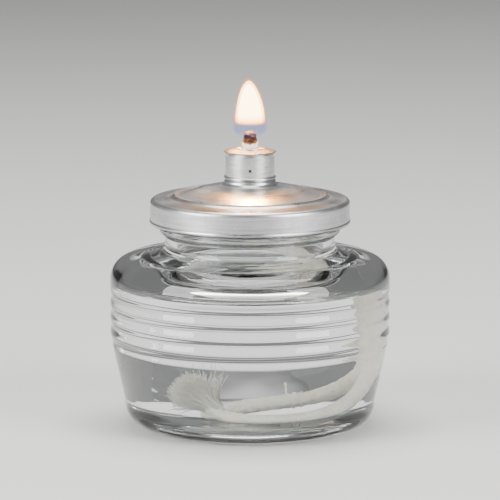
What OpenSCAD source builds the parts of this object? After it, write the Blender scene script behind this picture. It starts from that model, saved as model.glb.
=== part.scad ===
// Squat table burner: a ridged glass jar of clear fuel, a stamped metal cap and a cotton wick.
// Millimetres, +Z up. The origin is on the resting plane, under the middle of the jar.

/* [Jar] */
// Widest diameter of the glass
jar_d = 58; // [48:0.5:70]
// Height at which the upright wall turns into the shoulder
wall_h = 30.1; // [25:0.1:38]
// Thickness of the side wall
wall_t = 2.6; // [1.8:0.1:3.2]
// Thickness of the glass floor
floor_t = 3.1; // [2.6:0.1:4]
// How much narrower the wall is at its foot than at its widest, on the radius
taper_in = 3; // [1:0.1:4]
// Height at which the wall stops widening
taper_h = 19; // [14:0.5:22]
// Height of the rounded heel
heel_h = 5.5; // [4:0.1:7]
// Roundness of the heel: 2 is an ellipse and more is squarer
heel_n = 2.3; // [2:0.1:3]
// Width of the rounded heel, on the radius
heel_w = 5.6; // [3:0.1:7]
// Radius of the corner between the floor and the wall, inside
cove_r = 3.6; // [2:0.1:5]
// Width of the flat ring that the jar stands on
foot_w = 3; // [1.5:0.1:5]
// Rise of the shallow hollow inside that ring
punt_h = 0.8; // [0.3:0.1:1.5]

/* [Ridges] */
// Number of ridges around the wall
ridge_n = 4; // [2:1:4]
// Height from one groove to the next
ridge_pitch = 3.05; // [2.4:0.05:3.4]
// Depth of the grooves between the ridges
ridge_depth = 0.25; // [0.1:0.05:0.5]

/* [Shoulder and neck] */
// Rise of the rounded shoulder
shoulder_h = 5.4; // [4.5:0.1:7]
// Roundness of the shoulder: 2 is an ellipse and more is squarer
shoulder_n = 2.5; // [2:0.1:3.5]
// Width of the nearly flat deck between the neck and the shoulder
deck_w = 4.9; // [3:0.1:5.5]
// Rise of the deck towards the neck
deck_h = 1; // [0.5:0.1:2]
// Diameter of the neck
neck_d = 35.2; // [32:0.1:38]
// Thickness of the neck's glass
neck_t = 2.4; // [1.8:0.1:3]
// Height of the neck, from the deck to the finish that the cap covers
neck_h = 5.3; // [4.6:0.1:7]
// How far the bead under the cap stands out from the neck
bead_w = 1.1; // [0.6:0.1:1.4]
// Height of the finish that the cap covers
finish_h = 4.4; // [4:0.1:6]
// How far the finish stands out from the neck
finish_w = 1.7; // [1:0.1:1.8]

/* [Fuel] */
// Depth from the top of the upright wall down to the fuel
fuel_drop = 0.6; // [0.2:0.1:10]
// Gap kept between the fuel and the glass
fuel_gap = 0.02; // [0.01:0.01:0.1]

/* [Cap] */
// Gap between the glass finish and the rolled edge of the cap
cap_gap = 0.4; // [0.3:0.05:0.8]
// Thickness of the cap's sheet metal
sheet_t = 0.35; // [0.25:0.05:0.45]
// Height of the skirt
skirt_h = 5.2; // [4.4:0.1:6.5]
// Diameter of the rolled lower edge
curl_d = 1.1; // [0.9:0.05:1.4]
// How far the rolled edge stands out from the skirt
curl_out = 0.15; // [0.05:0.05:0.25]
// Radius of the cap's upper edge
edge_r = 0.9; // [0.6:0.1:1.3]
// Width of the outer band of the cap's top
band_w = 3.9; // [3:0.1:4.6]
// Rise of that band towards the middle
band_rise = 0.35; // [0.1:0.05:0.5]
// Height of the raised ring inside that band
step_h = 0.6; // [0.3:0.05:0.8]
// How far the dome starts below the crest of that ring
dip_h = 0.25; // [0.1:0.05:0.3]
// Rise of the dome from the ring to the boss
dome_h = 2.2; // [1.2:0.1:3.4]
// How far the dome bulges above a plain cone
dome_bulge = 0.3; // [0:0.05:0.5]
// Diameter of the boss that the collar stands on
boss_d = 10.6; // [10.2:0.1:12]
// Height of the boss
boss_h = 1.2; // [0.8:0.1:1.6]
// Diameter of the vent hole in the boss
vent_d = 1; // [0.6:0.1:1.2]

/* [Liner] */
// Thickness of the sealing ring inside the cap
liner_t = 0.8; // [0.5:0.1:1.2]
// Width of the sealing ring
liner_w = 4; // [3:0.1:4.5]
// Gap between the sealing ring and the rim of the glass
seal_gap = 0.05; // [0.02:0.01:0.1]

/* [Wick collar] */
// Diameter of the collar
collar_d = 10.1; // [9.4:0.1:11]
// Height of the collar, to its top rim
collar_h = 5.6; // [4:0.1:7]
// How far the bead and the rim stand out from the collar
collar_lip = 0.35; // [0.2:0.05:0.45]
// Thickness of the collar's sheet metal
collar_t = 0.3; // [0.2:0.05:0.4]
// Rise of the collar's domed top
crown_h = 0.5; // [0.4:0.05:1.2]
// Diameter of the pinhole in the side of the collar
pinhole_d = 0.6; // [0.4:0.1:0.8]
// Height of the pinhole above the collar's seat
pinhole_h = 2.2; // [1.4:0.1:3]

/* [Wick and tube] */
// Diameter of the wick
wick_d = 3.3; // [2.8:0.1:3.6]
// Gap around the wick in its tube
wick_gap = 0.08; // [0.02:0.01:0.1]
// Wall of the wick tube
tube_t = 0.45; // [0.3:0.05:0.6]
// Length of the tube below the boss
tube_drop = 9.5; // [8:0.1:13]
// Gap between the tube and the holes that it passes through
tube_gap = 0.05; // [0.03:0.01:0.1]
// Width of the flange at the top of the tube
flange_w = 0.55; // [0.4:0.05:0.8]
// Thickness of that flange
flange_t = 0.25; // [0.2:0.05:0.4]
// Height of the wick above the flange
wick_up = 3.6; // [2:0.1:6]
// Lowest setting of the wick, as a distance below the one shown
wick_dip = 2; // [1:0.1:2.5]
// Thickness of the sealing washer under the cap
washer_t = 0.8; // [0.5:0.1:1]
// Width of the sealing washer
washer_w = 1.15; // [0.8:0.05:1.3]
// Diameter of the push-on retaining washer
nut_d = 8.4; // [7.6:0.1:9]
// Thickness of the retaining washer
nut_t = 0.4; // [0.3:0.05:0.5]
// Number of teeth on the retaining washer
tooth_n = 6; // [4:1:8]

/* [Wick tails] */
// Diameter of each tail where it lies loose in the fuel
tail_d = 3; // [2.6:0.1:3.2]
// Gap between the two tails where the tube pinches them
tail_gap = 0.1; // [0.06:0.02:0.4]
// Length of the tails that stands in the lower end of the tube
tail_in = 0.9; // [0.4:0.1:1.4]

/* [Hidden] */
$fn = 96;

// The wick is doubled over, so two tails leave the tube, side by side, and go down on the right.
// The front one comes round the front of the floor, and the rear one crosses behind it.
FRONT_ROUTE = [[1.2, -0.4, 39.6], [3.6, 0.8, 38.1], [6.8, 2.4, 37], [10.2, 4.2, 35.4], [13.2, 6, 32.4],
               [15.2, 7.4, 28.2], [16, 8, 23], [16.2, 8, 17.6], [16, 6.6, 12.4], [15.4, 3, 8.4],
               [14, -2, 6.3], [11.6, -7, 5.1], [7.6, -11, 4.7], [2.6, -13.4, 4.7], [-2.4, -13.4, 5.2],
               [-5.8, -12.4, 6.8], [-7.6, -11.4, 8.6]];
REAR_ROUTE = [[-0.2, 2, 39.8], [1.4, 4.6, 38.6], [4.4, 6.8, 37.4], [8, 8.6, 35.4], [11.4, 10, 32.2],
              [13.6, 11.2, 28], [14.4, 11.8, 23], [14.4, 11.8, 17.6], [13.6, 11.8, 13], [11.4, 11.4, 10.2],
              [8, 10.8, 8], [4, 10, 7.2], [0, 8.8, 6.4], [-3.6, 6.4, 5.6], [-6.2, 2.8, 5]];
tail_sides = 8;
curve_steps = 10;
ridge_steps = 8;
slot_w = 0.7;

jar_r = jar_d / 2;
neck_r = neck_d / 2;
foot_r = jar_r - taper_in - heel_w;
deck_z = wall_h + shoulder_h;
neck_z = deck_z + deck_h;
finish_z = neck_z + neck_h;
rim_z = finish_z + finish_h;
finish_r = neck_r + finish_w;
bore_r = neck_r - neck_t;
ridge_z = wall_h - 1.2 - (ridge_n - 0.5) * ridge_pitch;
fuel_z = wall_h - fuel_drop;

curl_r = finish_r + cap_gap + curl_d;
skirt_r = curl_r - curl_out;
top_z = rim_z + seal_gap + liner_t + sheet_t;
step_r = skirt_r - edge_r - band_w;
step_w = 1.3;
boss_r = boss_d / 2;
step_z = top_z + band_rise + step_h;
seat_z = step_z - dip_h + dome_h + boss_h;

tube_bore = wick_d / 2 + wick_gap;
tube_r = tube_bore + tube_t;
hole_r = tube_r + tube_gap;
collar_r = collar_d / 2;
rim_top = seat_z + collar_h;
crown_z = rim_top + crown_h;
flange_z = crown_z + flange_t;
tube_z = seat_z - tube_drop;
tip_z = flange_z + wick_up;
pinch_d = (wick_d - tail_gap) / 2;
tail_at = (wick_d - pinch_d) / 2 * [sqrt(0.5), -sqrt(0.5)];
vent_r = (hole_r + washer_w + collar_r - collar_t) / 2;

// A quarter of a superellipse about c, from [c.x + a.x, c.y] to [c.x, c.y + a.y].
function bend(c, a, n) = [for (i = [0:curve_steps])
    let (t = 90 * i / curve_steps) c + [a.x * pow(cos(t), 2 / n), a.y * pow(sin(t), 2 / n)]];
function reversed(p) = [for (i = [len(p) - 1:-1:0]) p[i]];
function unit(v) = v / norm(v);
function heading(p, i) = unit(p[min(i + 1, len(p) - 1)] - p[max(i - 1, 0)]);

// The outline of a sheet of thickness t, whose outer face follows p up the side and inwards.
function sheet(p, t) = concat(p, [for (i = [len(p) - 1:-1:0])
    let (d = heading(p, i)) p[i] + t * [-d.y, d.x]]);

// The wall's radius: a taper that stops at the widest, less the grooves between the ridges.
function groove(z) = z < ridge_z - ridge_pitch / 2 ? 0
    : ridge_depth * (1 + cos(360 * (z - ridge_z) / ridge_pitch)) / 2;
function taper(z) = jar_r - taper_in * max(0, (taper_h - z) / (taper_h - heel_h));

// The jar's outer face, from the middle of the base to the rim.
function jar_outside() = concat(
    [[0, punt_h], [foot_r - foot_w - 4 * punt_h, punt_h], [foot_r - foot_w, 0]],
    reversed(bend([foot_r, heel_h], [heel_w, -heel_h], heel_n)),
    [for (i = [0:ridge_n * ridge_steps])
        let (z = ridge_z + (i / ridge_steps - 0.5) * ridge_pitch) [taper(z) - groove(z), z]],
    bend([neck_r + deck_w, wall_h], [jar_r - neck_r - deck_w, shoulder_h], shoulder_n),
    [[neck_r + 1.6, neck_z - 0.3], [neck_r + 0.6, neck_z], [neck_r + 0.15, neck_z + 0.5],
     [neck_r, neck_z + 1.1], [neck_r, finish_z - 1.9]],
    [for (t = [-60:30:60]) [neck_r + bead_w * cos(t), finish_z - 1 + 0.7 * sin(t)]],
    [[neck_r + 0.3, finish_z - 0.2], [finish_r - 0.4, finish_z], [finish_r, finish_z + 0.4]],
    bend([finish_r - 0.9, rim_z - 0.9], [0.9, 0.9], 2),
    reversed(bend([bore_r + 0.7, rim_z - 0.7], [-0.7, 0.7], 2)));

// The jar's inner face from the neck to the middle of the floor, moved into the hollow by g.
function jar_inside(g) = concat(
    [[bore_r - g, neck_z - 1.1], [bore_r + 0.5 - g, neck_z - 2.2], [bore_r + 2 - g, neck_z - 3]],
    reversed(bend([neck_r + deck_w - wall_t - g, wall_h - 1.2],
                  [jar_r - neck_r - deck_w, shoulder_h - wall_t + 0.8], shoulder_n)),
    [[jar_r - wall_t - g, taper_h]],
    bend([taper(floor_t + cove_r) - wall_t - cove_r - g, floor_t + cove_r],
         [cove_r, -cove_r + g], 2),
    [[0, floor_t + g]]);

module lathe(outline) {
    rotate_extrude() polygon(outline);
}

module ring(outer_r, inner_r, z, h) {
    translate([0, 0, z]) difference() {
        cylinder(r = outer_r, h = h);
        translate([0, 0, -1]) cylinder(r = inner_r, h = h + 2);
    }
}

// Thick pressed glass with a rounded heel, four ridges and a narrower neck.
module glass_jar() {
    color([0.85, 0.92, 0.93, 0.4]) lathe(concat(jar_outside(), jar_inside(0)));
}

// Clear fuel that fills the jar up to the top ridge.
module fuel() {
    color([0.8, 0.88, 0.9, 0.4]) intersection() {
        lathe(concat([[0, rim_z], [bore_r - 1, rim_z]], jar_inside(fuel_gap)));
        cylinder(r = jar_r, h = fuel_z);
    }
}

// The cap's outer face: skirt, rounded edge, band, raised ring, dome and boss.
function cap_face() = concat(
    [[skirt_r, top_z - skirt_h + curl_d / 2]],
    bend([skirt_r - edge_r, top_z - edge_r], [edge_r, edge_r], 2),
    [[step_r + 0.6, top_z + band_rise], [step_r + 0.25, step_z - step_h * 0.6],
     [step_r + 0.05, step_z - 0.06], [step_r - 0.15, step_z], [step_r - 0.4, step_z - 0.05],
     [step_r - 0.75, step_z - dip_h]],
    [for (i = [0:curve_steps])
        let (s = i / curve_steps, r = step_r - step_w + s * (boss_r + 0.5 - step_r + step_w))
        [r, step_z - dip_h + dome_h * s + dome_bulge * sin(180 * s)]],
    [[boss_r + 0.1, seat_z - boss_h * 0.6], [boss_r, seat_z - boss_h * 0.3], [boss_r - 0.3, seat_z],
     [hole_r, seat_z]]);

// One pressed sheet, rolled inwards along its lower edge.
module cap_shell() {
    color([0.72, 0.73, 0.75]) difference() {
        union() {
            lathe(sheet(cap_face(), sheet_t));
            translate([0, 0, top_z - skirt_h + curl_d / 2]) rotate_extrude()
                translate([curl_r - curl_d / 2, 0]) circle(d = curl_d);
        }
        translate([0, vent_r, seat_z - 2]) cylinder(d = vent_d, h = 3, $fn = 32);
    }
}

// Flat ring that seals the cap on the rim of the glass.
module cap_liner() {
    color([0.9, 0.89, 0.84])
        ring(finish_r + 0.2, finish_r + 0.2 - liner_w, rim_z + seal_gap, liner_t);
}

// Ferrule around the tube, beaded at its foot and flared at its rim.
function collar_face() = [
    [collar_r, seat_z + collar_lip], [collar_r, rim_top - 0.7], [collar_r + 0.12, rim_top - 0.4],
    [collar_r + collar_lip, rim_top], [collar_r + collar_lip - 0.1, rim_top + 0.15],
    [collar_r - 0.1, rim_top + 0.2], [collar_r * 0.75, rim_top + crown_h * 0.75], [hole_r + 0.8, crown_z],
    [hole_r, crown_z]];
function collar_inside() = [
    [hole_r, crown_z - collar_t], [hole_r + 0.8, crown_z - collar_t],
    [collar_r * 0.75, rim_top + crown_h * 0.75 - collar_t], [collar_r - collar_t, rim_top - 0.2],
    [collar_r - collar_t, seat_z + collar_lip]];

module wick_collar() {
    color([0.7, 0.71, 0.73]) difference() {
        union() {
            lathe(concat(collar_face(), collar_inside()));
            translate([0, 0, seat_z + collar_lip]) rotate_extrude()
                translate([collar_r, 0]) circle(r = collar_lip, $fn = 32);
        }
        translate([0, 0, seat_z + pinhole_h]) rotate([90, 0, 0])
            cylinder(d = pinhole_d, h = collar_r + 1, $fn = 32);
    }
}

// Tube that holds the wick, with a flange that rests on the collar.
module wick_tube() {
    color([0.66, 0.66, 0.68]) difference() {
        union() {
            translate([0, 0, tube_z]) cylinder(r = tube_r, h = crown_z - tube_z);
            translate([0, 0, crown_z]) cylinder(r = tube_r + flange_w, h = flange_t);
        }
        translate([0, 0, tube_z - 1]) cylinder(r = tube_bore, h = flange_z - tube_z + 2);
    }
}

// Soft washer that closes the hole in the cap around the tube.
module tube_seal() {
    color([0.55, 0.3, 0.2])
        ring(hole_r + washer_w, hole_r, seat_z - sheet_t - washer_t, washer_t);
}

// Push-on washer whose teeth grip the tube and clamp the seal, the cap and the collar.
module retaining_washer() {
    nut_z = seat_z - sheet_t - washer_t - nut_t;
    color([0.5, 0.51, 0.54]) difference() {
        ring(nut_d / 2, tube_r, nut_z, nut_t);
        for (i = [0:tooth_n - 1]) rotate([0, 0, 90 + i * 360 / tooth_n])
            translate([tube_r - 0.3, -slot_w / 2, nut_z - 1]) cube([nut_d / 2 - tube_r - 0.9, slot_w, 3]);
    }
}

// The upper wick, doubled over and straight through the tube, with its burnt tip above the collar.
module wick() {
    foot_z = tube_z + tail_in + wick_dip + 0.1;
    wick_r = wick_d / 2;
    color([0.93, 0.91, 0.85]) lathe([
        [0, foot_z], [wick_r, foot_z], [wick_r, tip_z - 2.2], [wick_r * 0.85, tip_z - 1.6],
        [wick_r * 0.8, tip_z - 0.9], [wick_r * 0.6, tip_z - 0.3], [wick_r * 0.3, tip_z - 0.05],
        [0, tip_z]]);
}

// A tail is pinched where the tube holds it, and swells over the rings below the tube.
function tail_width(i) = pinch_d + (tail_d - pinch_d) * min(1, max(0, i - 1) / 3);

function tail_rings(p) = [for (i = [0:len(p) - 1])
    let (t = heading(p, i), u = unit(cross(t, [1, 1, 1])), v = cross(t, u))
    for (k = [0:tail_sides - 1])
        let (a = 360 * k / tail_sides) p[i] + tail_width(i) / 2 * (cos(a) * u + sin(a) * v)];

function tail_faces(n, rings) = concat(
    [[for (k = [0:n - 1]) k]],
    [for (i = [0:rings - 2]) for (k = [0:n - 1])
        [i * n + k, (i + 1) * n + k, (i + 1) * n + (k + 1) % n]],
    [for (i = [0:rings - 2]) for (k = [0:n - 1])
        [i * n + k, (i + 1) * n + (k + 1) % n, i * n + (k + 1) % n]],
    [[for (k = [n - 1:-1:0]) (rings - 1) * n + k]]);

// One loose tail, from its place in the tube along its route.
module tail(start, route) {
    path = concat([[start.x, start.y, tube_z + tail_in], [start.x, start.y, tube_z - 0.6]], route);
    color([0.95, 0.93, 0.86])
        polyhedron(points = tail_rings(path), faces = tail_faces(tail_sides, len(path)));
}

module wick_tail_front() {
    tail(tail_at, FRONT_ROUTE);
}

module wick_tail_rear() {
    tail(-tail_at, REAR_ROUTE);
}

glass_jar();
fuel();
cap_shell();
cap_liner();
wick_collar();
wick_tube();
tube_seal();
retaining_washer();
wick();
wick_tail_front();
wick_tail_rear();
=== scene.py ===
import math
import bpy
import numpy as np
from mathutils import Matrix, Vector


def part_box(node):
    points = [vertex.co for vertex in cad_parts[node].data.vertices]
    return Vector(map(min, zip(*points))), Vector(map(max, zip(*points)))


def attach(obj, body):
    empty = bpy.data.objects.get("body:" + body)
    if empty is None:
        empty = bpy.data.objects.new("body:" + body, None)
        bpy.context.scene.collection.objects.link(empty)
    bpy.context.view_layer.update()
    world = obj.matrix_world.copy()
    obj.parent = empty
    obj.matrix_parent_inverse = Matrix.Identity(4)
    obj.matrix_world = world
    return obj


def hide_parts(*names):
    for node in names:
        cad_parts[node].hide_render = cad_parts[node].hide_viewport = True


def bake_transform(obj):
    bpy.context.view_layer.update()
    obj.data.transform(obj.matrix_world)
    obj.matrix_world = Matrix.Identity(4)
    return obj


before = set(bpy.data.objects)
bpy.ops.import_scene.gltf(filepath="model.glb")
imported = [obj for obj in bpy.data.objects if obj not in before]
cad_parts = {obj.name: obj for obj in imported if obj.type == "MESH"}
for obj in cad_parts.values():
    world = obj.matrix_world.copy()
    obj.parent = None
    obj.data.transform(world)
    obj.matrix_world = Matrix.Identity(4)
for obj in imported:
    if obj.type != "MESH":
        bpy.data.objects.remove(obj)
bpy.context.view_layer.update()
mm = 0.001
print("frame loaded:", len(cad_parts), "nodes")

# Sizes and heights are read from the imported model, in metres.
jarLow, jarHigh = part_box("glass_jar")
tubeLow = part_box("wick_tube")[0]
wickLow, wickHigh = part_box("wick")
fuelLow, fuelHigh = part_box("fuel")
jarRadius = (jarHigh.x - jarLow.x) / 2
rimHeight = jarHigh.z
fuelHeight = fuelHigh.z
floorTop = fuelLow.z
tipHeight = wickHigh.z


view = {
    "distance": 0.828,  # from the jar's axis, along the floor
    "height": 0.1754,
    "aimHeight": 0.0365,
    "lens": 292,
}


def makeCamera():
    data = bpy.data.cameras.new("viewCamera")
    data.lens = view["lens"]
    data.sensor_width = 36
    data.clip_start = 0.01
    data.clip_end = 20
    camera = bpy.data.objects.new("viewCamera", data)
    bpy.context.scene.collection.objects.link(camera)
    camera.location = (0, -view["distance"], view["height"])
    toAim = Vector((0, 0, view["aimHeight"])) - camera.location
    camera.rotation_euler = toAim.to_track_quat("-Z", "Y").to_euler()
    bpy.context.scene.camera = camera


makeCamera()
print("camera set")


def unitVectors(v):
    return v / np.maximum(np.linalg.norm(v, axis=-1, keepdims=True), 1e-12)


# Points and faces become a mesh piece at the origin.
def meshPiece(name, points, faces, smooth=True):
    mesh = bpy.data.meshes.new(name)
    mesh.from_pydata(points.reshape(-1, 3).tolist(), [], faces)
    mesh.polygons.foreach_set("use_smooth", np.full(len(faces), smooth))
    mesh.update()
    piece = bpy.data.objects.new(name, mesh)
    bpy.context.scene.collection.objects.link(piece)
    return piece


# A smooth step from 0 at the low value to 1 at the high one.
def smooth(low, high, value):
    t = np.clip((value - low) / (high - low), 0, 1)
    return t * t * (3 - 2 * t)


# Rows of points become a skin: each row is a closed loop, and each row is joined to the next one.
# Each end closes on its middle point.
def skin(name, rows, rowMaterial=None, pointValues=None):
    rowCount, loopCount = rows.shape[:2]
    step = np.arange(loopCount)
    after = (step + 1) % loopCount
    first = np.arange(rowCount - 1)
    a = first[:, None] * loopCount
    b = a + loopCount
    quads = np.stack([a + step, a + after, b + after, b + step], axis=-1).reshape(-1, 4)
    points = rows.reshape(-1, 3)
    corner = points[quads]
    triples = np.einsum("ij,ij->i", corner[:, 0], np.cross(corner[:, 1], corner[:, 2]))
    triples += np.einsum("ij,ij->i", corner[:, 0], np.cross(corner[:, 2], corner[:, 3]))
    count = len(points)
    points = np.vstack([points, rows[0].mean(axis=0), rows[-1].mean(axis=0)])
    last = (rowCount - 1) * loopCount
    ends = np.stack([after, step, np.full(loopCount, count)], axis=-1).tolist()
    ends += np.stack([last + step, last + after, np.full(loopCount, count + 1)], axis=-1).tolist()
    faces = quads.tolist() + ends
    if triples.sum() < 0:  # turned inside out, so every face is reversed
        faces = [face[::-1] for face in faces]
    piece = meshPiece(name, points, faces)
    mesh = piece.data
    if rowMaterial is not None:
        index = np.repeat(np.asarray(rowMaterial)[first], loopCount)
        mesh.polygons.foreach_set("material_index", np.append(index, np.zeros(len(ends), int)))
    if pointValues is not None:
        for key, values in pointValues.items():
            perPoint = values.reshape(-1)
            perPoint = np.append(perPoint, [perPoint[0], perPoint[-1]])
            layer = mesh.attributes.new(key, "FLOAT", "POINT")
            layer.data.foreach_set("value", perPoint.astype(np.float32))
    return piece


# An outline walked at an even step.
def evenly(outline, step):
    outline = np.asarray(outline, float)
    walked = np.append(0, np.cumsum(np.linalg.norm(np.diff(outline, axis=0), axis=1)))
    count = max(int(round(walked[-1] / step)), 2)
    at = np.linspace(0, walked[-1], count + 1)
    return np.stack([np.interp(at, walked, outline[:, k]) for k in range(outline.shape[1])], axis=1)


# An outline whose corners are rounded: each point becomes the bell-weighted mean of its neighbours.
# Both ends lie on the axis, and the outline is mirrored across it there.
def softened(outline, step, spread):
    path = evenly(outline, step)
    reach = int(math.ceil(3 * spread / step))
    flip = np.array([-1, 1])
    padded = np.vstack([path[reach:0:-1] * flip, path, path[-2:-reach - 2:-1] * flip])
    bell = np.exp(-0.5 * (np.arange(-reach, reach + 1) * step / spread) ** 2)
    bell /= bell.sum()
    return np.stack([np.convolve(padded[:, k], bell, "valid") for k in range(2)], axis=1)


# A turned shape: every point of the outline (radius, height) goes round the axis in a circle.
def turned(name, outline, segments, rowMaterial=None):
    angle = np.arange(segments) * 2 * math.pi / segments
    radius = np.maximum(outline[:, 0], 0.00002)[:, None]
    height = np.broadcast_to(outline[:, 1][:, None], (len(outline), segments))
    rows = np.stack([radius * np.cos(angle), radius * np.sin(angle), height], axis=-1)
    return skin(name, rows, rowMaterial)


# A quarter of a superellipse about the centre, from the side (radius) to the top (height).
def quarter(centre, width, height, power, count=60):
    t = np.linspace(0, math.pi / 2, count)
    x = centre[0] + width * np.abs(np.cos(t)) ** (2 / power)
    y = centre[1] + height * np.abs(np.sin(t)) ** (2 / power)
    return np.stack([x, y], axis=1)


# A smooth curve through points by cubic arcs whose slopes come from each point's neighbours.
def throughPoints(points, perSpan):
    p = np.asarray(points, float)
    p = np.vstack([2 * p[0] - p[1], p, 2 * p[-1] - p[-2]])
    t = np.linspace(0, 1, perSpan, endpoint=False)[:, None, None]
    a, b, c, d = p[:-3], p[1:-2], p[2:-1], p[3:]
    arc = 0.5 * (2 * b + (c - a) * t + (2 * a - 5 * b + 4 * c - d) * t**2 + (3 * b - a - 3 * c + d) * t**3)
    return np.vstack([arc.transpose(1, 0, 2).reshape(-1, 3), p[-2:-1]])


def newMaterial(name):
    material = bpy.data.materials.new(name)
    material.use_nodes = True
    tree = material.node_tree
    return material, tree, tree.nodes["Principled BSDF"]


def node(tree, kind, **settings):
    made = tree.nodes.new(kind)
    for key, value in settings.items():
        setattr(made, key, value)
    return made


def setInputs(made, **values):
    for key, value in values.items():
        made.inputs[key].default_value = value


def mathNode(tree, operation, a, b=None):
    made = node(tree, "ShaderNodeMath", operation=operation)
    for slot, value in enumerate((a, b)):
        if value is None:
            continue
        if isinstance(value, (int, float)):
            made.inputs[slot].default_value = value
        else:
            tree.links.new(value, made.inputs[slot])
    return made.outputs[0]


def colourRamp(tree, source, stops):
    ramp = node(tree, "ShaderNodeValToRGB")
    while len(ramp.color_ramp.elements) < len(stops):
        ramp.color_ramp.elements.new(0.5)
    for element, (place, colour) in zip(ramp.color_ramp.elements, stops):
        element.position = place
        element.color = (*colour, 1) if len(colour) == 3 else colour
    tree.links.new(source, ramp.inputs["Fac"])
    return ramp.outputs["Color"]


def noiseNode(tree, vector, scale, detail=3, roughness=0.55):
    made = node(tree, "ShaderNodeTexNoise")
    setInputs(made, Scale=scale, Detail=detail, Roughness=roughness)
    tree.links.new(vector, made.inputs["Vector"])
    return made.outputs["Fac"]


def attributeNode(tree, name, output="Fac"):
    return node(tree, "ShaderNodeAttribute", attribute_name=name).outputs[output]


def bump(tree, height, shader, strength, distance):
    made = node(tree, "ShaderNodeBump")
    setInputs(made, Strength=strength, Distance=distance)
    tree.links.new(height, made.inputs["Height"])
    tree.links.new(made.outputs["Normal"], shader.inputs["Normal"])


# The wick is doubled over, so it has two loose tails in the fuel.
tail = {
    "diameter": 3.0 * mm,
    "pinched": 1.6 * mm,  # where the tube holds both tails
    "entry": 0.9 * mm,  # how far the upper ends stand in the tube
    "straight": 0.6 * mm,  # how far they go straight down below it
    "swellFrom": 1.2 * mm,
    "swellOver": 8 * mm,
    "taperOver": 2 * mm,  # length over which the far end is drawn in
    "endShare": 0.55,  # its width at the end
    "step": 0.15 * mm,
    "strands": 8,  # carriers of the braid, each way round
    "braidPitch": 6 * mm,
    "relief": 0.06 * mm,
    "sides": 48,
}
frontTail = {
    "start": (0.601, -0.601),
    "route": [[1.2, -0.4, 39.6], [3.6, 0.8, 38.1], [6.8, 2.4, 37], [10.2, 4.2, 35.4], [13.2, 6, 32.4],
              [15.2, 7.4, 28.2], [16, 8, 23], [16.2, 8, 17.6], [16, 6.6, 12.4], [15.4, 3, 8.4],
              [14, -2, 6.3], [11.6, -7, 5.1], [7.6, -11, 4.7], [2.6, -13.4, 4.7], [-2.4, -13.4, 5.2],
              [-5.8, -12.4, 6.8], [-7.6, -11.4, 8.6]],
}
rearTail = {
    "start": (-0.601, 0.601),
    "route": [[-0.2, 2, 39.8], [1.4, 4.6, 38.6], [4.4, 6.8, 37.4], [8, 8.6, 35.4], [11.4, 10, 32.2],
              [13.6, 11.2, 28], [14.4, 11.8, 23], [14.4, 11.8, 17.6], [13.6, 11.8, 13], [11.4, 11.4, 10.2],
              [8, 10.8, 8], [4, 10, 7.2], [0, 8.8, 6.4], [-3.6, 6.4, 5.6], [-6.2, 2.8, 5]],
}


def tailPath(layout):
    x, y = layout["start"]
    top = tubeLow.z + tail["entry"]
    start = [[x * mm, y * mm, top], [x * mm, y * mm, tubeLow.z - tail["straight"]]]
    points = np.vstack([start, np.array(layout["route"]) * mm])
    return evenly(throughPoints(points, 24), tail["step"])


# Two directions across a path at each of its points.
def acrossPath(path):
    along = unitVectors(np.gradient(path, axis=0))
    side = unitVectors(np.cross(along, np.array([1.0, 1.0, 1.0])))
    return along, side, np.cross(along, side)


# A braided cord: a tube on the path whose radius rises where a carrier of either family lies on top.
# The carriers are two sets of waves that wind round it in opposite directions.
def braidedTube(name, path, diameter, strands, pitch, relief, sides, swell=None):
    along, side, up = acrossPath(path)
    walked = np.append(0, np.cumsum(np.linalg.norm(np.diff(path, axis=0), axis=1)))[:, None]
    angle = (np.arange(sides) * 2 * math.pi / sides)[None, :]
    turn = 2 * math.pi * walked / pitch
    left = np.cos(strands / 2 * (angle + turn))
    right = np.cos(strands / 2 * (angle - turn))
    weave = np.maximum(left, right)
    radius = diameter / 2 + relief * (weave - 0.5)
    if swell is not None:
        radius = radius * swell[:, None]
    rows = path[:, None, :] + radius[..., None] * (
        np.cos(angle)[..., None] * side[:, None, :] + np.sin(angle)[..., None] * up[:, None, :])
    return skin(name, rows)


# Within the tube both tails are pinched, below it they swell to their full size, and each end is drawn in.
# Above the shoulder they follow a line that leans to the tube and stays in the neck.
def makeTail(name, layout, replaced):
    path = tailPath(layout)
    walked = np.append(0, np.cumsum(np.linalg.norm(np.diff(path, axis=0), axis=1)))
    thin = tail["pinched"] / tail["diameter"] * 0.96
    swell = thin + (1 - thin) * smooth(tail["swellFrom"], tail["swellFrom"] + tail["swellOver"], walked)
    left = (walked[-1] - walked) / tail["taperOver"]
    swell = swell * (tail["endShare"] + (1 - tail["endShare"]) * np.sqrt(np.clip(left, 0, 1)))
    piece = braidedTube(name, path, tail["diameter"], tail["strands"], tail["braidPitch"],
                        tail["relief"], tail["sides"], swell)
    print(name, "is", round(float(walked[-1]) * 1000, 1), "mm long")
    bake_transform(piece)
    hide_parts(replaced)
    return piece, path


wickTailFront, frontPath = makeTail("wickTailFront", frontTail, "wick_tail_front")
wickTailRear, rearPath = makeTail("wickTailRear", rearTail, "wick_tail_rear")
print("both loose tails made")


# The front tail ends in a tuft: a full, curled mass to the left, and a few straight bristles above.
fray = {
    "fibres": 900,
    "bristles": 110,
    "length": 7.0 * mm,
    "thickness": 0.2 * mm,
    "stations": 10,
    "spread": 1.5 * mm,
    "sheath": 4.2 * mm,  # how far before the tail's end the fibres leave its surface
    "bristleFan": (50, 86),  # degrees above the right, seen from the front
    "massFan": (88, 142, 208),
    "massMiddle": 145,  # where the fibres are longest
    "massReach": 60,
    "seed": 7,
}


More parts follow.
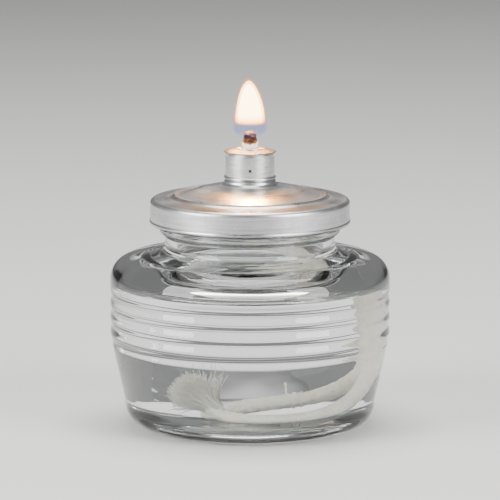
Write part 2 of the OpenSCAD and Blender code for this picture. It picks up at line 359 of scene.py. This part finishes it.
# Each fibre is a thin three-sided tube. It runs along the tail's surface to its end, as part of a
# sheath, and bends out from there at its own angle. The angles are spread as a fan.
def makeFray():
    draw = np.random.default_rng(fray["seed"])
    bristles, stations = fray["bristles"], fray["stations"]
    count = fray["fibres"] + bristles
    isBristle = np.arange(count) >= fray["fibres"]
    along, side, up = acrossPath(frontPath)
    heading = along[-1]
    spin = draw.uniform(0, 2 * math.pi, count)
    out = np.sqrt(draw.uniform(0, 1, count))
    width = (out * fray["spread"])[:, None]
    sheathFoot = -1 - int(fray["sheath"] / tail["step"])

    def onTail(i, grow):
        return frontPath[i] + grow * width * (np.cos(spin)[:, None] * side[i] + np.sin(spin)[:, None] * up[i])

    start, bend = onTail(sheathFoot, 0.94), onTail(-1, 1.0)
    fan = np.radians(np.where(isBristle, draw.uniform(*fray["bristleFan"], count),
                              draw.triangular(*fray["massFan"], count)))
    deep = np.where(isBristle, draw.normal(0, 0.12, count), draw.uniform(-0.42, 0.42, count))
    lean = unitVectors(np.stack([np.cos(fan), deep, np.sin(fan)], axis=1))
    lean = unitVectors(lean + heading * 0.12)
    curl = np.stack([-np.sin(fan), deep * 0.5, np.cos(fan)], axis=1) * draw.normal(0, 0.5, count)[:, None]
    curl = np.where(isBristle[:, None], curl * 0.15, curl)
    droop = 1 - 0.36 * ((fan - math.radians(fray["massMiddle"])) / math.radians(fray["massReach"])) ** 2
    length = fray["length"] * np.where(isBristle, draw.uniform(0.62, 0.9, count),
                                       droop * draw.uniform(0.6, 1.0, count) ** 0.5)
    s = np.linspace(0, 1, stations)[None, :, None]
    reach = length[:, None, None]
    wave = np.sin(s * 8 + spin[:, None, None]) * 0.22 * mm * np.where(isBristle, 0.3, 1)[:, None, None]
    tip = bend[:, None, :] + reach * (lean[:, None, :] + 0.3 * s * curl[:, None, :])
    line = (1 - s)**2 * start[:, None, :] + 2 * s * (1 - s) * bend[:, None, :] + s**2 * tip
    line = line + wave * side[-1] * s
    line[..., 2] = np.maximum(line[..., 2], floorTop + 0.5 * mm)
    ahead = unitVectors(np.gradient(line, axis=1))
    across = unitVectors(np.cross(ahead, np.array([0.3, 0.9, 0.2])))
    over = np.cross(ahead, across)
    thin = fray["thickness"] * (1 - 0.5 * s)
    corner = np.arange(3) * 2 * math.pi / 3
    ring = (np.cos(corner)[:, None] * across[:, :, None, :] + np.sin(corner)[:, None] * over[:, :, None, :])
    points = line[:, :, None, :] + ring * thin[..., None] / 2
    step, after = np.arange(3), (np.arange(3) + 1) % 3
    row = np.arange(stations - 1)[:, None] * 3
    quads = np.stack([row + step, row + 3 + step, row + 3 + after, row + after], axis=-1).reshape(-1, 4)
    size = stations * 3
    offset = (np.arange(count) * size)[:, None, None]
    faces = (quads[None] + offset).reshape(-1, 4).tolist()
    caps = np.array([[0, 1, 2], [size - 1, size - 2, size - 3]])
    faces += (caps[None] + offset).reshape(-1, 3).tolist()
    piece = meshPiece("wickFray", points, faces)
    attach(piece, "jar")
    return piece


wickFray = makeFray()


# A thread is wound round the rear tail where it lies on the floor, and its end stands up.
thread = {
    "thickness": 0.26 * mm,
    "place": 0.787,  # share of the rear tail's length, from the tube
    "turns": 2.0,
    "pitch": 0.9 * mm,
    "loose": 2.4 * mm,
}


# The thread's middle line is a helix on the tail's surface, then a slightly bent upright end.
def makeThread():
    along, side, up = acrossPath(rearPath)
    middle = int(len(rearPath) * thread["place"])
    aim = np.array([0, 0, 1.0])
    top = unitVectors(aim - along[middle] * along[middle].dot(aim))
    level = np.cross(along[middle], top)
    turn = np.linspace(-thread["turns"], 0, 90)[:, None] * 2 * math.pi
    radius = tail["diameter"] / 2 + thread["thickness"] * 0.5
    helix = rearPath[middle] + radius * (np.cos(turn) * top + np.sin(turn) * level)
    helix = helix + along[middle] * turn / (2 * math.pi) * thread["pitch"]
    s = np.linspace(0.05, 1, 24)[:, None]
    end = helix[-1] + thread["loose"] * (s * aim + 0.1 * s**2 * along[middle] + 0.05 * np.sin(6 * s) * level)
    path = evenly(np.vstack([helix, end]), 0.1 * mm)
    piece = braidedTube("wickThread", path, thread["thickness"], 2, 1 * mm, 0.02 * mm, 8)
    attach(piece, "jar")
    return piece


wickThread = makeThread()
print("tuft and thread made")


cotton = {
    "wet": (0.94, 0.91, 0.80),
    "shade": (0.76, 0.71, 0.58),
    "light": (0.98, 0.96, 0.87),
    "yarnScale": 2600,
}


def wetCotton():
    material, tree, shader = newMaterial("wetCotton")
    place = node(tree, "ShaderNodeTexCoord").outputs["Object"]
    fibres = noiseNode(tree, place, cotton["yarnScale"], detail=4, roughness=0.7)
    cloud = noiseNode(tree, place, 160, detail=2)
    blend = mathNode(tree, "MULTIPLY", mathNode(tree, "ADD", fibres, cloud), 0.5)
    colour = colourRamp(tree, blend, [(0.3, cotton["shade"]), (0.55, cotton["wet"]), (0.8, cotton["light"])])
    tree.links.new(colour, shader.inputs["Base Color"])
    setInputs(shader, Roughness=0.7)
    shader.inputs["Subsurface Weight"].default_value = 0.25
    shader.inputs["Subsurface Scale"].default_value = 0.0012
    shader.inputs["Subsurface Radius"].default_value = (1.0, 0.8, 0.5)
    bump(tree, fibres, shader, 0.5, 0.0002)
    return material


cottonMaterial = wetCotton()
for piece in (wickTailFront, wickTailRear, wickFray, wickThread):
    piece.data.materials.append(cottonMaterial)


glass = {
    "heelWidth": 5.6 * mm,
    "heelHeight": 5.5 * mm,
    "taperIn": 3 * mm,
    "taperTop": 19 * mm,
    "wallTop": 30.1 * mm,
    "wall": 2.6 * mm,
    "floor": floorTop,
    "heelPower": 2.3,
    "cove": 3.6 * mm,
    "footWidth": 3 * mm,
    "punt": 0.8 * mm,
    "ridges": 4,
    "ridgePitch": 3.05 * mm,
    "ridgeDepth": 0.25 * mm,
    "shoulderRise": 5.4 * mm,
    "shoulderPower": 2.5,
    "deckWidth": 4.9 * mm,
    "deckRise": 1 * mm,
    "neckRadius": 17.6 * mm,
    "neckWall": 2.4 * mm,
    "neckHeight": 5.3 * mm,
    "beadOut": 1.1 * mm,
    "finishOut": 1.7 * mm,
    "fuelGap": 0.02 * mm,
    "segments": 288,
    "glassIndex": 1.5,
    "fuelIndex": 1.41,
    "tint": (0.97, 0.985, 0.98),
}
deckTop = glass["wallTop"] + glass["shoulderRise"]
neckFoot = deckTop + glass["deckRise"]
finishFoot = neckFoot + glass["neckHeight"]
boreRadius = glass["neckRadius"] - glass["neckWall"]
ridgeStart = glass["wallTop"] - 1.2 * mm - (glass["ridges"] - 0.5) * glass["ridgePitch"]


def wallRadius(z):
    share = np.clip((glass["taperTop"] - z) / (glass["taperTop"] - glass["heelHeight"]), 0, None)
    return jarRadius - glass["taperIn"] * share


# The outside: a hollow base, a rounded heel, a tapered wall with cosine ridges, a rounded shoulder,
# a deck, a neck with a bead, and the finish that the cap covers.
def jarOutside():
    g = glass
    foot = jarRadius - g["taperIn"] - g["heelWidth"]
    base = [[0, g["punt"]], [foot - g["footWidth"] - 4 * g["punt"], g["punt"]], [foot - g["footWidth"], 0]]
    heel = quarter((foot, g["heelHeight"]), g["heelWidth"], -g["heelHeight"], g["heelPower"])[::-1]
    z = np.linspace(ridgeStart - g["ridgePitch"] / 2, g["wallTop"] - 1.2 * mm, 160)
    groove = g["ridgeDepth"] * (1 + np.cos(2 * math.pi * (z - ridgeStart) / g["ridgePitch"])) / 2
    ridges = np.stack([wallRadius(z) - groove, z], axis=1)
    neck = g["neckRadius"]
    shoulder = quarter((neck + g["deckWidth"], g["wallTop"]), jarRadius - neck - g["deckWidth"],
                       g["shoulderRise"], g["shoulderPower"])
    flare = [[neck + 1.6 * mm, neckFoot - 0.3 * mm], [neck + 0.6 * mm, neckFoot],
             [neck + 0.15 * mm, neckFoot + 0.5 * mm], [neck, neckFoot + 1.1 * mm],
             [neck, finishFoot - 1.9 * mm]]
    t = np.radians(np.linspace(-70, 70, 15))
    bead = np.stack([neck + g["beadOut"] * np.cos(t), finishFoot - 1 * mm + 0.7 * mm * np.sin(t)], axis=1)
    finishRadius = neck + g["finishOut"]
    finish = [[neck + 0.3 * mm, finishFoot - 0.2 * mm], [finishRadius - 0.4 * mm, finishFoot],
              [finishRadius, finishFoot + 0.4 * mm]]
    lip = quarter((finishRadius - 0.9 * mm, rimHeight - 0.9 * mm), 0.9 * mm, 0.9 * mm, 2, 12)
    inner = quarter((boreRadius + 0.7 * mm, rimHeight - 0.7 * mm), -0.7 * mm, 0.7 * mm, 2, 12)[::-1]
    return np.vstack([base, heel, ridges, shoulder, flare, bead, finish, lip, inner])


# The inside, from the neck to the middle of the floor, moved into the hollow by a gap.
def jarInside(gap):
    g = glass
    neck = [[boreRadius - gap, neckFoot - 1.1 * mm], [boreRadius + 0.5 * mm - gap, neckFoot - 2.2 * mm],
            [boreRadius + 2 * mm - gap, neckFoot - 3 * mm]]
    shoulder = quarter((g["neckRadius"] + g["deckWidth"] - g["wall"] - gap, g["wallTop"] - 1.2 * mm),
                       jarRadius - g["neckRadius"] - g["deckWidth"],
                       g["shoulderRise"] - g["wall"] + 0.8 * mm, g["shoulderPower"])[::-1]
    coveTop = g["floor"] + g["cove"]
    wall = [[jarRadius - g["wall"] - gap, g["taperTop"]]]
    cove = quarter((wallRadius(coveTop) - g["wall"] - g["cove"] - gap, coveTop), g["cove"],
                   -g["cove"] + gap, 2)
    return np.vstack([neck, shoulder, wall, cove, [[0, g["floor"] + gap]]])


def clearMaterial(name, index, tint):
    material, tree, shader = newMaterial(name)
    setInputs(shader, Roughness=0.0, IOR=index)
    shader.inputs["Transmission Weight"].default_value = 1.0
    shader.inputs["Base Color"].default_value = (*tint, 1)
    return material, tree, shader


# Pressed glass is a little uneven, which a broad shallow wave gives.
def clearGlass(name, index):
    material, tree, shader = clearMaterial(name, index, glass["tint"])
    place = node(tree, "ShaderNodeTexCoord").outputs["Object"]
    wave = noiseNode(tree, place, 90, detail=1)
    bump(tree, wave, shader, 0.35, 0.0003)
    return material


def makeGlass():
    outline = np.vstack([jarOutside(), jarInside(0.0)])
    path = softened(outline, 0.12 * mm, 0.22 * mm)
    inside = np.arange(len(path)) > np.argmax(path[:, 1])
    wetted = inside & (path[:, 1] < fuelHeight + 0.5 * mm)
    piece = turned("jarGlass", path, glass["segments"], rowMaterial=wetted.astype(int))
    piece.data.materials.append(clearGlass("pressedGlass", glass["glassIndex"]))
    piece.data.materials.append(clearGlass("glassAgainstFuel", glass["glassIndex"] / glass["fuelIndex"]))
    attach(piece, "jar")
    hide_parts("glass_jar")
    return piece


jarGlass = makeGlass()
print("jar made:", len(jarGlass.data.polygons), "faces")


fuel = {
    "below": 0.3 * mm,  # how far the flat middle lies below the model's level
    "climb": 0.8 * mm,  # rise at the glass
    "spread": 1.0 * mm,
    "segments": 192,
    "tint": (0.99, 0.99, 0.98),
}


# A body that fills the jar with a hair's gap. Its top is flat, and climbs the glass at the edge.
# Its sides bend no light, because the jar's inner wall already does that for both.
def makeFuel():
    climb, spread = fuel["climb"], fuel["spread"]
    level = fuelHeight - fuel["below"]
    side = evenly(jarInside(glass["fuelGap"]), 0.2 * mm)
    side = side[side[:, 1] < level + climb][::-1]
    edge = side[-1, 0]
    radius = np.append(edge - np.geomspace(0.03 * mm, edge * 0.9, 60), 0)
    top = np.stack([radius, level + climb * np.exp((radius - edge) / spread)], axis=1)
    side[:, 0] = np.where(side[:, 0] < 0.00001, 0, side[:, 0])
    outline = np.vstack([side, top])
    isTop = (np.arange(len(outline)) >= len(side) - 1).astype(int)
    piece = turned("fuelBody", outline, fuel["segments"], rowMaterial=isTop)
    piece.data.materials.append(clearMaterial("fuelSide", 1.0, (1, 1, 1))[0])
    piece.data.materials.append(clearMaterial("fuelTop", glass["fuelIndex"], fuel["tint"])[0])
    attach(piece, "jar")
    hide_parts("fuel")


makeFuel()
print("fuel made")


brushing = {
    "stretch": 0.0006,  # how slowly the marks change round the axis
    "broadShare": 0.12,
    "cloudScale": 120,
    "anisotropic": 0.5,
}


# Turned marks are noise that changes quickly along the radius and the height and slowly round the axis.
def brushedMetal(name, colour, dark, roughness, marks):
    material, tree, shader = newMaterial(name)
    place = node(tree, "ShaderNodeTexCoord").outputs["Object"]
    parts = node(tree, "ShaderNodeSeparateXYZ")
    tree.links.new(place, parts.inputs[0])
    x, y, z = parts.outputs
    radius = mathNode(tree, "SQRT", mathNode(tree, "ADD", mathNode(tree, "MULTIPLY", x, x),
                                             mathNode(tree, "MULTIPLY", y, y)))
    pair = node(tree, "ShaderNodeCombineXYZ")
    tree.links.new(radius, pair.inputs["X"])
    tree.links.new(z, pair.inputs["Y"])
    around = mathNode(tree, "MULTIPLY", mathNode(tree, "ARCTAN2", y, x), brushing["stretch"])
    tree.links.new(around, pair.inputs["Z"])
    fine = noiseNode(tree, pair.outputs[0], marks, detail=3, roughness=0.7)
    broad = noiseNode(tree, pair.outputs[0], marks * brushing["broadShare"], detail=2)
    cloud = noiseNode(tree, place, brushing["cloudScale"], detail=3)
    tone = mathNode(tree, "ADD", mathNode(tree, "MULTIPLY", fine, 0.5),
                    mathNode(tree, "MULTIPLY", cloud, 0.5))
    tree.links.new(colourRamp(tree, tone, [(0.3, dark), (0.6, colour)]), shader.inputs["Base Color"])
    rough = node(tree, "ShaderNodeMapRange")
    setInputs(rough, **{"From Min": 0.3, "From Max": 0.7,
                        "To Min": roughness - 0.07, "To Max": roughness + 0.08})
    tree.links.new(mathNode(tree, "ADD", mathNode(tree, "MULTIPLY", broad, 0.6),
                            mathNode(tree, "MULTIPLY", cloud, 0.4)), rough.inputs["Value"])
    tree.links.new(rough.outputs["Result"], shader.inputs["Roughness"])
    setInputs(shader, Metallic=1.0)
    shader.inputs["Anisotropic"].default_value = brushing["anisotropic"]
    tangent = node(tree, "ShaderNodeTangent", direction_type="RADIAL", axis="Z")
    tree.links.new(tangent.outputs[0], shader.inputs["Tangent"])
    bump(tree, fine, shader, 0.25, 0.00004)
    return material


def softMaterial(name, colour, dark, scale, roughness):
    material, tree, shader = newMaterial(name)
    place = node(tree, "ShaderNodeTexCoord").outputs["Object"]
    grain = noiseNode(tree, place, scale, detail=4, roughness=0.65)
    tree.links.new(colourRamp(tree, grain, [(0.35, dark), (0.65, colour)]), shader.inputs["Base Color"])
    setInputs(shader, Roughness=roughness)
    bump(tree, grain, shader, 0.4, 0.00008)
    return material


def dress(name, material):
    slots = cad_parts[name].data.materials
    slots.clear()
    slots.append(material)


# Node, finish, colour, colour of the marks, roughness and scale of the marks.
metals = [
    ("cap_shell", "tinnedSheet", (0.64, 0.64, 0.64), (0.35, 0.35, 0.36), 0.30, 2600),
    ("wick_collar", "collarSheet", (0.68, 0.68, 0.67), (0.34, 0.34, 0.35), 0.27, 3200),
    ("wick_tube", "drawnTube", (0.70, 0.70, 0.71), (0.34, 0.34, 0.35), 0.32, 9000),
    ("retaining_washer", "springSheet", (0.46, 0.47, 0.50), (0.3, 0.31, 0.33), 0.35, 6000),
]
# Node, finish, colour, darker colour, scale of the grain and roughness.
softParts = [
    ("cap_liner", "linerFoam", (0.86, 0.85, 0.80), (0.74, 0.73, 0.68), 2500, 0.75),
    ("tube_seal", "fibreWasher", (0.45, 0.27, 0.18), (0.30, 0.17, 0.11), 1800, 0.85),
]
for name, *finish in metals:
    dress(name, brushedMetal(*finish))
for name, *finish in softParts:
    dress(name, softMaterial(*finish))
print("metal, liner and washers dressed")


# The upper wick is the doubled cotton, clean in its tube and burnt at its tip.
wickTop = {
    "relief": 0.05 * mm,
    "braidPitch": 6 * mm,
    "cleft": 0.13,  # depth of the fold between the two strands, as a share of the radius
    "charFrom": 3.0 * mm,  # below the tip
    "emberFrom": 0.95 * mm,
    "sides": 72,
    "cottonColour": (0.90, 0.88, 0.82),
    "scorched": (0.16, 0.09, 0.05),
    "char": (0.012, 0.010, 0.010),
    "ember": (1.0, 0.24, 0.08),
    "emberStrength": 0.9,
    "lumps": 0.05,  # height of the char's lumps, as a share of the radius
    "lumpTwist": 0.9,
    "lumpScale": 5200,
}


# Radius by height: straight, a little fuller above the tube, narrower where it burns, and round on top.
# The fold makes a cleft in front and behind, and the char reaches lower in the cleft than on the strands.
def makeWickTop():
    w = wickTop
    tip = tipHeight
    full = (wickHigh.x - wickLow.x) / 2
    z = np.append(np.linspace(wickLow.z, tip - 4 * mm, 60), tip - 4 * mm * np.linspace(0.985, 0, 90) ** 1.25)
    knots = [wickLow.z, tip - 3.6 * mm, tip - 2.5 * mm, tip - 1.8 * mm, tip - 1.2 * mm, tip - 0.6 * mm]
    shape = [0.97, 0.97, 1.0, 0.86, 0.78, 0.76]
    radius = np.interp(z, knots, shape)
    cap = np.clip((z - (tip - 0.95 * mm)) / (0.95 * mm), 0, 1)
    radius = radius * np.sqrt(np.clip(1 - cap**2.4, 0, 1)) + 0.01
    angle = (np.arange(w["sides"]) * 2 * math.pi / w["sides"])[None, :]
    turn = (2 * math.pi * (z - wickLow.z) / w["braidPitch"])[:, None]
    weave = np.maximum(np.cos(4 * (angle + turn)), np.cos(4 * (angle - turn)))
    cleft = w["cleft"] * np.abs(np.sin(angle)) ** 6 * np.clip(1.6 - cap, 0, 1)[:, None]
    lumps = np.sin(3 * angle + w["lumpTwist"] / full * z[:, None]) * np.sin(w["lumpScale"] * z[:, None])
    burning = np.clip((z - (tip - 2.2 * mm)) / (0.8 * mm), 0, 1)[:, None]
    braid = w["relief"] * (weave - 0.8) * (1 - burning)
    r = full * radius[:, None] * (1 - cleft + w["lumps"] * lumps * burning) + braid
    r = np.maximum(r, 0.01 * mm)
    rows = np.stack([r * np.cos(angle), r * np.sin(angle), np.broadcast_to(z[:, None], r.shape)], axis=-1)
    ragged = 0.75 * np.abs(np.cos(angle)) ** 1.5 + 0.12 * np.sin(9 * angle) + 0.08 * np.sin(23 * angle + 1)
    burn = (z[:, None] - (tip - w["charFrom"])) / (0.55 * mm) - ragged
    heat = (z[:, None] - (tip - w["emberFrom"])) / (0.45 * mm) + 0.3 * np.sin(5 * angle + 2)
    piece = skin("wickTop", rows, pointValues={"burn": burn, "heat": heat})
    material, tree, shader = newMaterial("burntCotton")
    place = node(tree, "ShaderNodeTexCoord").outputs["Object"]
    grain = noiseNode(tree, place, 2600, detail=4, roughness=0.7)
    crumbs = noiseNode(tree, place, 1500, detail=3)
    shifted = mathNode(tree, "ADD", attributeNode(tree, "burn"), mathNode(tree, "SUBTRACT", grain, 0.5))
    colour = colourRamp(tree, shifted, [(0.0, w["cottonColour"]), (0.35, w["cottonColour"]),
                                        (0.6, w["scorched"]), (0.95, w["char"])])
    tree.links.new(colour, shader.inputs["Base Color"])
    setInputs(shader, Roughness=0.85)
    shader.inputs["Specular IOR Level"].default_value = 0.15
    uneven = mathNode(tree, "MULTIPLY", mathNode(tree, "SUBTRACT", crumbs, 0.5), 2.4)
    glow = mathNode(tree, "ADD", attributeNode(tree, "heat"), uneven)
    emberColour = colourRamp(tree, glow, [(0.1, (0, 0, 0)), (0.5, (0.35, 0.05, 0.02)), (0.95, w["ember"])])
    tree.links.new(emberColour, shader.inputs["Emission Color"])
    shader.inputs["Emission Strength"].default_value = w["emberStrength"]
    bump(tree, grain, shader, 0.5, 0.0002)
    piece.data.materials.append(material)
    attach(piece, "wick")
    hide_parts("wick")


makeWickTop()
print("burnt wick made")


# The flame is four thin shells, one inside the other: two for the halo, then the edge and the core.
flame = {
    "foot": 1.45 * mm,  # below the wick's tip
    "bodyRise": 1.55 * mm,  # from the wick's tip to where the bright body begins
    "bodyHeight": 8.8 * mm,
    "bodyRadius": 3.05 * mm,
    "scales": (1.22, 1.1, 1.0, 0.84),
    "bodyAlpha": (0.05, 0.10, 0.70, 0.95),
    "cupAlpha": (0.03, 0.07, 0.10, 0.0),
    "levels": (0.10, 0.14, 0.42, 1.0),
    "colours": ((1.0, 0.22, 0.03), (1.0, 0.34, 0.07), (1.0, 0.62, 0.24), (1.0, 0.88, 0.60)),
    "lowerEdge": (0.75, 0.42, 0.12),  # tint of the body where it begins
    "blue": (0.04, 0.14, 1.0),
    "blueLevel": 0.045,
    "rows": 72,
    "segments": 64,
    "strength": 22.0,
    "glowPower": 0.45,
    "glowColour": (1.0, 0.42, 0.10),
    "glowRadius": 2.4 * mm,
    "glowRise": 4.4 * mm,
}


# The body is widest where it begins, and rounds off to a blunt point. Below it a faint blue cup
# closes in around the wick, and the core stays out of it.
def makeFlame():
    f = flame
    foot = tipHeight - f["foot"]
    bodyFoot = tipHeight + f["bodyRise"]
    scale = np.array(f["scales"])[:, None]
    top = bodyFoot + f["bodyHeight"] * (0.50 + 0.50 * scale)
    isCore = np.array(f["cupAlpha"])[:, None] == 0
    bottom = np.where(isCore, bodyFoot - 0.3 * mm, foot + (f["scales"][0] - scale) * 1.0 * mm)
    t = np.linspace(0, 1, f["rows"])[None, :]
    z = bottom + (top - bottom) * np.sin(t * math.pi / 2)
    rise = np.clip((z - bodyFoot) / (top - bodyFoot), 0, 1)
    bodyShape = (1 - rise**1.8) ** 0.58
    cup = np.clip((z - bottom) / (bodyFoot - bottom), 0, 1)
    cupShape = 0.62 + 0.46 * np.sin(np.minimum(cup * 1.25, 1) * math.pi / 2) - 0.08 * smooth(0.5, 1, cup)
    radius = f["bodyRadius"] * scale * bodyShape * cupShape
    radius = np.maximum(radius, 0.01 * mm)
    angle = (np.arange(f["segments"]) * 2 * math.pi / f["segments"])[None, None, :]
    sway = 0.25 * mm * smooth(0.3, 1.0, rise)[..., None]
    x = radius[..., None] * np.cos(angle) - sway
    y = radius[..., None] * np.sin(angle)
    points = np.stack([x, y, np.broadcast_to(z[..., None], x.shape)], axis=-1)
    shells, rowCount, loop = x.shape
    step, after = np.arange(loop), (np.arange(loop) + 1) % loop
    row = np.arange(rowCount - 1)[:, None] * loop
    quads = np.stack([row + step, row + after, row + loop + after, row + loop + step], axis=-1).reshape(-1, 4)
    offset = np.arange(shells)[:, None, None] * rowCount * loop
    faces = (quads[None] + offset).reshape(-1, 4).tolist()
    ends = np.stack([step[::-1], (rowCount - 1) * loop + step])
    faces += (ends[None] + offset).reshape(-1, loop).tolist()
    piece = meshPiece("flame", points, faces)
    mesh = piece.data
    bright = smooth(-0.4 * mm, 0.7 * mm, z - bodyFoot)
    warm = np.array(f["colours"])[:, None, :] * np.array(f["levels"])[:, None, None]
    above = smooth(0, 2.2 * mm, z - bodyFoot)[..., None]
    warm = warm * (above + (1 - above) * np.array(f["lowerEdge"]))
    blue = np.array(f["blue"]) * f["blueLevel"]
    glow = warm * bright[..., None] + blue * (1 - bright)[..., None]
    fade = smooth(0, 1.2 * mm, z - foot)
    bodyAlpha, cupAlpha = np.array(f["bodyAlpha"])[:, None], np.array(f["cupAlpha"])[:, None]
    alpha = bodyAlpha * bright + cupAlpha * (1 - bright) * fade
    colours = np.concatenate([glow, np.ones_like(z)[..., None]], axis=-1)
    colours = np.repeat(colours.reshape(-1, 4), loop, axis=0)
    layer = mesh.attributes.new("glow", "FLOAT_COLOR", "POINT")
    layer.data.foreach_set("color", colours.astype(np.float32).reshape(-1))
    layer = mesh.attributes.new("solid", "FLOAT", "POINT")
    layer.data.foreach_set("value", np.repeat(alpha.reshape(-1), loop).astype(np.float32))
    material, tree, shader = newMaterial("flameLight")
    setInputs(shader, Roughness=1.0)
    shader.inputs["Specular IOR Level"].default_value = 0.0
    shader.inputs["Base Color"].default_value = (0.0, 0.0, 0.0, 1)
    tree.links.new(attributeNode(tree, "glow", "Color"), shader.inputs["Emission Color"])
    tree.links.new(attributeNode(tree, "solid"), shader.inputs["Alpha"])
    shader.inputs["Emission Strength"].default_value = f["strength"]
    mesh.materials.append(material)
    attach(piece, "wick")
    data = bpy.data.lights.new("flameGlow", "POINT")
    data.energy = f["glowPower"]
    data.color = f["glowColour"]
    data.shadow_soft_size = f["glowRadius"]
    lamp = bpy.data.objects.new("flameGlow", data)
    bpy.context.scene.collection.objects.link(lamp)
    lamp.location = (0, 0, bodyFoot + f["glowRise"])


makeFlame()
print("flame made")


studio = {
    "floorColour": (0.62, 0.62, 0.61),
    "world": 0.2,
}


def makeFloor():
    t = np.linspace(-1, 1, 3)
    x, y = np.meshgrid(t * 3, t * 3)
    points = np.stack([x, y, np.zeros_like(x)], axis=-1).reshape(-1, 3)
    faces = [[0, 1, 4, 3], [1, 2, 5, 4], [3, 4, 7, 6], [4, 5, 8, 7]]
    floor = meshPiece("floor", points, faces, smooth=False)
    material, tree, shader = newMaterial("floorCard")
    place = node(tree, "ShaderNodeTexCoord").outputs["Object"]
    grain = noiseNode(tree, place, 4, detail=2)
    low = tuple(0.97 * c for c in studio["floorColour"])
    tree.links.new(colourRamp(tree, grain, [(0.3, low), (0.7, studio["floorColour"])]),
                   shader.inputs["Base Color"])
    setInputs(shader, Roughness=0.75)
    floor.data.materials.append(material)


def softbox(name, place, target, width, height, power):
    data = bpy.data.lights.new(name, "AREA")
    data.shape = "RECTANGLE"
    data.size, data.size_y = width, height
    data.energy = power
    lamp = bpy.data.objects.new(name, data)
    bpy.context.scene.collection.objects.link(lamp)
    lamp.location = place
    lamp.rotation_euler = (Vector(target) - Vector(place)).to_track_quat("-Z", "Y").to_euler()


def makeLight():
    middle = (0, 0, 0.03)
    softbox("leftBox", (-0.52, -0.30, 0.26), middle, 0.34, 0.5, 7)
    softbox("rightBox", (0.47, -0.37, 0.26), middle, 0.34, 0.5, 6)
    softbox("topBox", (0.0, 0.05, 0.7), middle, 0.5, 0.5, 8)
    world = bpy.data.worlds.new("studioWorld")
    bpy.context.scene.world = world
    world.use_nodes = True
    back = world.node_tree.nodes["Background"]
    back.inputs["Color"].default_value = (1, 1, 1, 1)
    back.inputs["Strength"].default_value = studio["world"]


makeFloor()
makeLight()
print("floor and light set")
